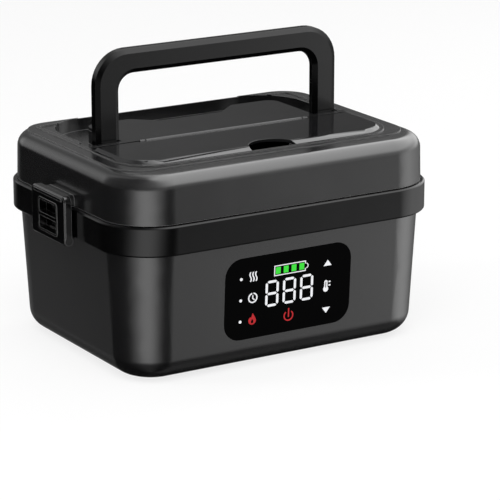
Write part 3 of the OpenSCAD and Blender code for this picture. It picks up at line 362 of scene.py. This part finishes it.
def black_with_painted_sheen(name, axis, flat, edge, top, edge_highlight):
    """The black plastic with a painted sheen: one coat on its broad faces and others on its bevels and top,
    chosen by which way each face points.
    """
    s = settings()[0]
    made = moulded(name, tuple(s.gloss_black), s.gloss_roughness, 1800.0, GLOSS_GRAIN, 0.05,
                   edge=s.painted_edge_highlight * edge_highlight, Specular_IOR_Level=0.05,
                   Coat_IOR=COAT_IOR, Coat_Roughness=s.gloss_roughness)
    tree = made.node_tree
    # painted sheen: the coat's weight follows which way a face points, not a change in the plastic
    faces = place_group(tree, facing(), **{axis: 1.0})
    rest = spread(tree, faces.outputs["Up"], 0.0, 1.0, edge, top)
    broad = math_node(tree, "MULTIPLY", math_node(tree, "SUBTRACT", flat, rest), faces.outputs["Mask"])
    tree.links.new(math_node(tree, "ADD", rest, broad),
                   tree.nodes["Principled BSDF"].inputs["Coat Weight"])
    return made


def screw_steel():
    return cached("screw_steel", lambda: metal("screw_steel", (0.55, 0.55, 0.54), 0.3))


def silicone():
    return cached("silicone", lambda: moulded(
        "silicone", (0.42, 0.42, 0.4), 0.55, 900.0, FINE_GRAIN, Subsurface_Weight=0.2))


def deck_grey():
    s = settings()[0]
    return cached("deck_plastic", lambda: moulded(
        "deck_plastic", tuple(s.deck_grey), s.deck_roughness, 900.0, GLOSS_GRAIN, 0.04))


# ------------------------------------------------------------------ CAD nodes

def smoother():
    """Joins a CAD mesh's split corners, then shades it smooth between its real edges."""
    name = "Smooth CAD Faces"
    if name in bpy.data.node_groups:
        return bpy.data.node_groups[name]
    tree = bpy.data.node_groups.new(name, "GeometryNodeTree")
    tree.interface.new_socket("Geometry", in_out="INPUT", socket_type="NodeSocketGeometry")
    tree.interface.new_socket("Geometry", in_out="OUTPUT", socket_type="NodeSocketGeometry")
    start, end = tree.nodes.new("NodeGroupInput"), tree.nodes.new("NodeGroupOutput")
    plain = tree.nodes.new("GeometryNodeRemoveAttribute")
    plain.inputs["Name"].default_value = "custom_normal"
    joined = tree.nodes.new("GeometryNodeMergeByDistance")
    joined.inputs["Distance"].default_value = WELD
    edge = tree.nodes.new("GeometryNodeInputMeshEdgeAngle")
    flat = tree.nodes.new("FunctionNodeCompare")
    flat.data_type = "FLOAT"
    flat.operation = "LESS_THAN"
    flat.inputs["B"].default_value = SMOOTH_BELOW
    ridges = tree.nodes.new("GeometryNodeSetShadeSmooth")
    ridges.domain = "EDGE"
    faces = tree.nodes.new("GeometryNodeSetShadeSmooth")
    faces.domain = "FACE"
    tree.links.new(start.outputs[0], plain.inputs["Geometry"])
    tree.links.new(plain.outputs["Geometry"], joined.inputs["Geometry"])
    tree.links.new(joined.outputs["Geometry"], ridges.inputs["Geometry"])
    tree.links.new(edge.outputs["Unsigned Angle"], flat.inputs["A"])
    tree.links.new(flat.outputs["Result"], ridges.inputs["Shade Smooth"])
    tree.links.new(ridges.outputs["Geometry"], faces.inputs["Geometry"])
    tree.links.new(faces.outputs["Geometry"], end.inputs[0])
    return tree


def weigh_normals(piece):
    weigh = piece.modifiers.new("Weighted Normals", "WEIGHTED_NORMAL")
    weigh.mode = "FACE_AREA"
    weigh.weight = 80
    weigh.keep_sharp = True


def dress(name, made, round_edges=0.0):
    """Gives a CAD node its material and even shading."""
    piece = nodes[name]
    piece.data.materials.clear()
    piece.data.materials.append(made)
    piece.modifiers.new("Smooth CAD Faces", "NODES").node_group = smoother()
    if round_edges > 0:
        bevel = piece.modifiers.new("Edge Round", "BEVEL")
        bevel.width = round_edges
        bevel.segments = 2
        bevel.limit_method = "ANGLE"
        bevel.angle_limit = ROUND_ABOVE
        bevel.use_clamp_overlap = True
    weigh_normals(piece)


# ------------------------------------------------------------------ operators

class LunchBoxOperator:
    bl_options = {"REGISTER", "UNDO"}


class LUNCHBOX_OT_housing(LunchBoxOperator, bpy.types.Operator):
    """Finish the housing, its base cover, feet, screws and power socket"""
    bl_idname = "lunchbox.housing"
    bl_label = "Housing"

    def execute(self, context):
        dress("lower_housing", charcoal("housing_plastic", 0.4))
        dress("base_cover", cached("base_plastic", lambda: moulded(
            "base_plastic", (0.012, 0.012, 0.013), 0.5, 1500.0, COARSE_GRAIN)))
        dress("rubber_feet", cached("foot_rubber", lambda: moulded(
            "foot_rubber", (0.01, 0.01, 0.01), 0.75, 1200.0, 0.00003)))
        dress("base_screws", screw_steel())
        dress("power_socket", gloss_black())
        dress("socket_contact", cached("contact_brass", lambda: metal(
            "contact_brass", (0.75, 0.6, 0.32), 0.2)))
        return {"FINISHED"}


class LUNCHBOX_OT_collar(LunchBoxOperator, bpy.types.Operator):
    """Finish the black collar"""
    bl_idname = "lunchbox.collar"
    bl_label = "Collar"

    def execute(self, context):
        dress("collar_band", gloss_black(), settings()[0].edge_round)
        return {"FINISHED"}


class LUNCHBOX_OT_lid(LunchBoxOperator, bpy.types.Operator):
    """Finish the lid with its deck, cutlery tray and cover"""
    bl_idname = "lunchbox.lid"
    bl_label = "Lid"

    def execute(self, context):
        s = settings()[0]
        dress("lid_shell", charcoal("lid_plastic", 2.4), s.edge_round)
        dress("lid_deck", deck_grey(), s.edge_round)
        dress("cutlery_cover", deck_grey(), s.edge_round)
        dress("cutlery_tray", cached("tray_plastic", lambda: moulded(
            "tray_plastic", (0.008, 0.008, 0.0085), 0.42, 1500.0, COARSE_GRAIN)))
        dress("lid_liner", cached("liner_plastic", lambda: moulded(
            "liner_plastic", (0.02, 0.02, 0.021), 0.4, 1500.0, COARSE_GRAIN)))
        dress("lid_seal", silicone())
        dress("lid_screws", screw_steel())
        pins = cached("pin_steel", lambda: metal("pin_steel", (0.6, 0.6, 0.6), 0.18))
        for name in ("handle_pins", "cover_hinge_pin", "clip_pins"):
            dress(name, pins)
        return {"FINISHED"}


class LUNCHBOX_OT_handle(LunchBoxOperator, bpy.types.Operator):
    """Finish the carrying handle"""
    bl_idname = "lunchbox.handle"
    bl_label = "Handle"

    def execute(self, context):
        # painted sheen by face direction, and a painted highlight along the edges
        made = cached("handle_plastic", lambda: black_with_painted_sheen("handle_plastic", "Y", 0.83, 0.0, 0.43, 0.4))
        dress("handle", made, settings()[0].edge_round)
        return {"FINISHED"}


class LUNCHBOX_OT_clips(LunchBoxOperator, bpy.types.Operator):
    """Finish the two side clips"""
    bl_idname = "lunchbox.clips"
    bl_label = "Side Clips"

    def execute(self, context):
        for name in ("left_clip", "right_clip"):
            # painted sheen by face direction, and a painted highlight along the edges
            made = cached("clip_plastic", lambda: black_with_painted_sheen("clip_plastic", "X", 0.16, 1.0, 1.0, 1.5))
            dress(name, made, settings()[0].edge_round)
        return {"FINISHED"}


class LUNCHBOX_OT_display(LunchBoxOperator, bpy.types.Operator):
    """Finish the display window and its lit signs"""
    bl_idname = "lunchbox.display"
    bl_label = "Display"

    def execute(self, context):
        d = settings()[1]
        dress("display_window", cached("window_glass", lambda: moulded(
            "window_glass", tuple(d.glass), 0.04, 600.0, 0.0, 0.02, Specular_IOR_Level=0.03)))
        white = cached("lit_white", lambda: lit("lit_white", tuple(d.white), d.glow))
        for name in ("display_numerals", "mode_symbols", "mode_lamps"):
            dress(name, white)
        dress("battery_gauge", cached("lit_green", lambda: lit("lit_green", tuple(d.green), d.glow)))
        dress("heat_symbols", cached("lit_red", lambda: lit("lit_red", tuple(d.red), d.glow)))
        return {"FINISHED"}


class LUNCHBOX_OT_inside(LunchBoxOperator, bpy.types.Operator):
    """Finish the food container and what sits inside the housing"""
    bl_idname = "lunchbox.inside"
    bl_label = "Inside"

    def execute(self, context):
        dress("food_container", cached("container_steel", lambda: metal(
            "container_steel", (0.72, 0.72, 0.71), 0.22)))
        dress("container_lid", cached("inner_lid_plastic", lambda: moulded(
            "inner_lid_plastic", (0.62, 0.65, 0.67), 0.3, 700.0, FINE_GRAIN)))
        dress("container_seal", silicone())
        dress("vent_plug", cached("plug_silicone", lambda: moulded(
            "plug_silicone", (0.45, 0.05, 0.03), 0.5, 900.0, FINE_GRAIN)))
        dress("heated_tub", cached("tub_coating", lambda: moulded(
            "tub_coating", (0.045, 0.045, 0.047), 0.38, 2000.0, COARSE_GRAIN)))
        dress("heating_plate", cached("plate_aluminium", lambda: metal(
            "plate_aluminium", (0.7, 0.71, 0.72), 0.35)))
        for name, made, base, rough in (
                ("heating_elements", "element_ceramic", (0.6, 0.4, 0.2), 0.6),
                ("heat_shield", "shield_sheet", (0.7, 0.68, 0.6), 0.5),
                ("foam_jacket", "jacket_felt", (0.6, 0.6, 0.57), 0.95),
                ("battery_cells", "cell_sleeve", (0.05, 0.2, 0.5), 0.3),
                ("battery_holder", "holder_plastic", (0.02, 0.02, 0.02), 0.5),
                ("control_board", "board_green", (0.02, 0.16, 0.07), 0.4),
                ("display_board", "board_green", (0.02, 0.16, 0.07), 0.4),
                ("board_parts", "chip_black", (0.03, 0.03, 0.032), 0.45),
                ("internal_leads", "lead_rubber", (0.4, 0.03, 0.02), 0.45)):
            dress(name, cached(made, lambda made=made, base=base, rough=rough: moulded(
                made, base, rough, 1500.0, FINE_GRAIN)))
        dress("temperature_sensor", screw_steel())
        return {"FINISHED"}


def soft_light(name, place, target, size, power):
    data = bpy.data.lights.new(name, "AREA")
    data.shape = "RECTANGLE"
    data.size, data.size_y = size
    data.energy = power
    lamp = bpy.data.objects.new(name, data)
    bpy.context.scene.collection.objects.link(lamp)
    lamp.location = place
    lamp.visible_glossy = False
    lamp.rotation_mode = "QUATERNION"
    lamp.rotation_quaternion = (Vector(target) - Vector(place)).to_track_quat("-Z", "Y")


def floor_mesh():
    """A floor that curves up into a backdrop behind the box."""
    half, front, back, round_r, high = 6.0, -5.0, 3.0, 1.2, 6.0
    path = [(front, 0.0), (back, 0.0)]
    path += [(back + round_r * math.sin(a), round_r * (1 - math.cos(a)))
             for a in (math.pi / 2 * i / 16 for i in range(1, 17))]
    path.append((back + round_r, high))
    mesh = bpy.data.meshes.new("floor")
    points = [(x, y, z) for x in (-half, half) for y, z in path]
    n = len(path)
    mesh.from_pydata(points, [], [(i, i + n, i + n + 1, i + 1) for i in range(n - 1)])
    mesh.polygons.foreach_set("use_smooth", [True] * len(mesh.polygons))
    return mesh


# Brightness of the studio's soft boxes as gloss shows them, by direction in degrees
# clockwise from straight behind the box: one ring below the horizon, one round it that
# the upright faces of lid and collar show, one just above it, and one overhead.
SUNK_RING = (
    (-180, 0.25), (-174, 0.5), (-164, 1.15), (-154, 1.7), (-143, 1.95), (-132, 1.8),
    (-122, 1.35), (-112, 0.8), (-102, 0.4), (-93, 0.15), (-84, 0.06), (-67, 0.03), (-45, 0.02),
    (-34, 0.02), (-29, 0.04), (-25, 0.15), (-20, 0.24), (-12, 0.2), (0, 0.2), (31, 0.28),
    (55, 0.22), (73, 0.55), (83, 0.9), (103, 1.75), (120, 2.1), (134, 1.75), (140, 1.15),
    (143.5, 0.7), (149, 0.75), (155, 0.28), (165, 0.07), (175, 0.1), (180, 0.25))
LOW_RING = (
    (-180, 0.42), (-174, 0.66), (-164, 1.2), (-154, 1.6), (-144, 1.75), (-132, 1.55),
    (-122, 1.0), (-112, 0.5), (-102, 0.18), (-93, 0.06), (-84, 0.04), (-67, 0.02), (-45, 0.01),
    (-38, 0.01), (-33, 0.01), (-22, 0.01), (-15, 0.03), (0, 0.15), (31, 0.2), (55, 0.22),
    (73, 0.55), (83, 0.75), (103, 1.3), (120, 1.7), (134, 1.4), (141, 1.0), (144.5, 0.72),
    (147, 0.5), (151, 0.32), (158, 0.12), (165, 0.06), (175, 0.2), (180, 0.42))
RAISED_RING = (
    (-180, 0.6), (-140, 0.3), (-100, 0.1), (-60, 0.15), (-36, 0.3), (-24, 0.95), (-10, 0.9),
    (4, 0.2), (20, 0.2), (27, 0.18), (31, 0.15), (35, 0.11), (42, 1.0), (60, 2.0), (100, 1.8),
    (130, 1.3), (145, 0.9), (160, 0.4), (180, 0.6))
HIGH_RING = (
    (-180, 1.2), (-150, 0.5), (-90, 0.15), (-40, 0.2), (-20, 0.6), (0, 0.3), (22, 0.9),
    (33, 1.7), (38, 2.3), (43, 3.0), (55, 2.8), (80, 2.9), (119, 2.9), (160, 2.2), (180, 1.2))
RING_TOP = 4.0
# the heights, as the direction's z, over which each ring takes over from the one below
RISING = ((LOW_RING, -0.31, -0.29), (RAISED_RING, -0.05, 0.1), (HIGH_RING, 0.3, 0.5))
# below these heights the rings fade to a share of themselves
UNDER_FADE = (-0.62, -0.38, 0.07, 1.0)


def ring(tree, turn, levels):
    """Brightness round the horizon, eased between levels."""
    curve = tree.nodes.new("ShaderNodeFloatCurve")
    points = curve.mapping.curves[0].points
    places = [((azimuth + 180) / 360, level / RING_TOP) for azimuth, level in levels]
    points[0].location, points[1].location = places[0], places[-1]
    for place in places[1:-1]:
        points.new(*place)
    for point in points:
        point.handle_type = "AUTO_CLAMPED"
    curve.mapping.update()
    tree.links.new(turn, curve.inputs["Value"])
    return math_node(tree, "MULTIPLY", curve.outputs["Value"], RING_TOP)


def blend(tree, first, second, share):
    """The first value, eased into the second as share goes from 0 to 1."""
    rest = math_node(tree, "SUBTRACT", 1.0, share)
    return math_node(tree, "ADD", math_node(tree, "MULTIPLY", first, rest),
                     math_node(tree, "MULTIPLY", second, share))


def studio_world(sky):
    """White to the camera and even to matt surfaces; gloss sees the soft boxes' rings."""
    world = bpy.data.worlds.new("studio")
    world.use_nodes = True
    world.cycles.sampling_method = "NONE"
    tree = world.node_tree
    back = tree.nodes["Background"]
    back.inputs["Color"].default_value = (1.0, 1.0, 1.0, 1.0)
    place = tree.nodes.new("ShaderNodeTexCoord")
    split = tree.nodes.new("ShaderNodeSeparateXYZ")
    link(tree, place, "Generated", split, "Vector")
    x, y, z = split.outputs
    azimuth = math_node(tree, "ARCTAN2", x, y)
    turn = math_node(tree, "ADD", math_node(tree, "MULTIPLY", azimuth, 0.5 / math.pi), 0.5)
    gloss = ring(tree, turn, SUNK_RING)
    for levels, low, high in RISING:
        gloss = blend(tree, gloss, ring(tree, turn, levels), spread(tree, z, low, high))
    gloss = math_node(tree, "MULTIPLY", gloss, spread(tree, z, *UNDER_FADE))
    path = tree.nodes.new("ShaderNodeLightPath")
    seen, shine = path.outputs["Is Camera Ray"], path.outputs["Is Glossy Ray"]
    matt = math_node(tree, "ADD", math_node(tree, "MULTIPLY", seen, 1.0 - sky), sky)
    tree.links.new(blend(tree, matt, gloss, shine), back.inputs["Strength"])
    return world


class LUNCHBOX_OT_stage(LunchBoxOperator, bpy.types.Operator):
    """Build the camera, the pale floor and the soft light"""
    bl_idname = "lunchbox.stage"
    bl_label = "Stage"

    def execute(self, context):
        s = settings()[2]
        scene = context.scene
        data = bpy.data.cameras.new("photo_camera")
        data.lens = s.focal
        data.sensor_width = 36.0
        data.clip_end = 100.0
        camera = bpy.data.objects.new("photo_camera", data)
        scene.collection.objects.link(camera)
        camera.location = s.place
        camera.rotation_euler = (math.pi / 2 - s.tilt, 0.0, -s.turn)
        scene.camera = camera
        scene.view_settings.view_transform = "Standard"

        floor = bpy.data.objects.new("floor", floor_mesh())
        scene.collection.objects.link(floor)
        floor.rotation_euler = (0.0, 0.0, -s.turn)
        made = bpy.data.materials.new("floor_white")
        made.use_nodes = True
        tree = made.node_tree
        shader = tree.nodes["Principled BSDF"]
        shader.inputs["Base Color"].default_value = (*s.floor, 1.0)
        shader.inputs["Roughness"].default_value = 0.9
        shader.inputs["Specular IOR Level"].default_value = 0.0
        path = tree.nodes.new("ShaderNodeLightPath")
        seen = math_node(tree, "MAXIMUM", path.outputs["Is Camera Ray"], path.outputs["Is Glossy Ray"])
        glow = tree.nodes.new("ShaderNodeEmission")
        glow.inputs["Strength"].default_value = s.floor_glow
        mix = tree.nodes.new("ShaderNodeMixShader")
        tree.links.new(math_node(tree, "MULTIPLY", seen, FLOOR_SHARE), mix.inputs["Fac"])
        tree.links.new(shader.outputs["BSDF"], mix.inputs[1])
        tree.links.new(glow.outputs["Emission"], mix.inputs[2])
        tree.links.new(mix.outputs["Shader"], tree.nodes["Material Output"].inputs["Surface"])
        floor.data.materials.append(made)

        floor.visible_glossy = False
        scene.world = studio_world(s.sky)

        aim = (0.0, 0.0, 0.08)
        soft_light("key_softbox", (-0.5, -0.9, 1.5), aim, (1.2, 1.2), s.key)
        soft_light("left_strip", (-1.3, 0.5, 0.6), aim, (0.25, 1.2), s.rim)
        soft_light("right_strip", (1.3, 0.2, 0.6), aim, (0.25, 1.2), s.rim)
        return {"FINISHED"}


class LUNCHBOX_PT_panel(bpy.types.Panel):
    """Lists the steps that finish the lunch box"""
    bl_idname = "LUNCHBOX_PT_panel"
    bl_label = "Electric Lunch Box"
    bl_space_type = "VIEW_3D"
    bl_region_type = "UI"
    bl_category = "Lunch Box"

    def draw(self, context):
        column = self.layout.column()
        for step in STEPS:
            column.operator(step.bl_idname)
        for group in settings():
            box = self.layout.box()
            for name in group.__annotations__:
                box.prop(group, name)


STEPS = (
    LUNCHBOX_OT_stage,
    LUNCHBOX_OT_housing,
    LUNCHBOX_OT_collar,
    LUNCHBOX_OT_lid,
    LUNCHBOX_OT_handle,
    LUNCHBOX_OT_clips,
    LUNCHBOX_OT_display,
    LUNCHBOX_OT_inside,
)
GROUPS = (
    ("lunchbox_shell", LUNCHBOX_PG_shell),
    ("lunchbox_display", LUNCHBOX_PG_display),
    ("lunchbox_stage", LUNCHBOX_PG_stage),
)


def register():
    for name, group in GROUPS:
        bpy.utils.register_class(group)
        setattr(bpy.types.Scene, name, bpy.props.PointerProperty(type=group))
    for step in STEPS:
        bpy.utils.register_class(step)
    bpy.utils.register_class(LUNCHBOX_PT_panel)


def unregister():
    bpy.utils.unregister_class(LUNCHBOX_PT_panel)
    for step in reversed(STEPS):
        bpy.utils.unregister_class(step)
    for name, group in reversed(GROUPS):
        delattr(bpy.types.Scene, name)
        bpy.utils.unregister_class(group)


def main():
    register()
    for step in STEPS:
        area, name = step.bl_idname.split(".")
        getattr(getattr(bpy.ops, area), name)()


if __name__ == "__main__":
    main()
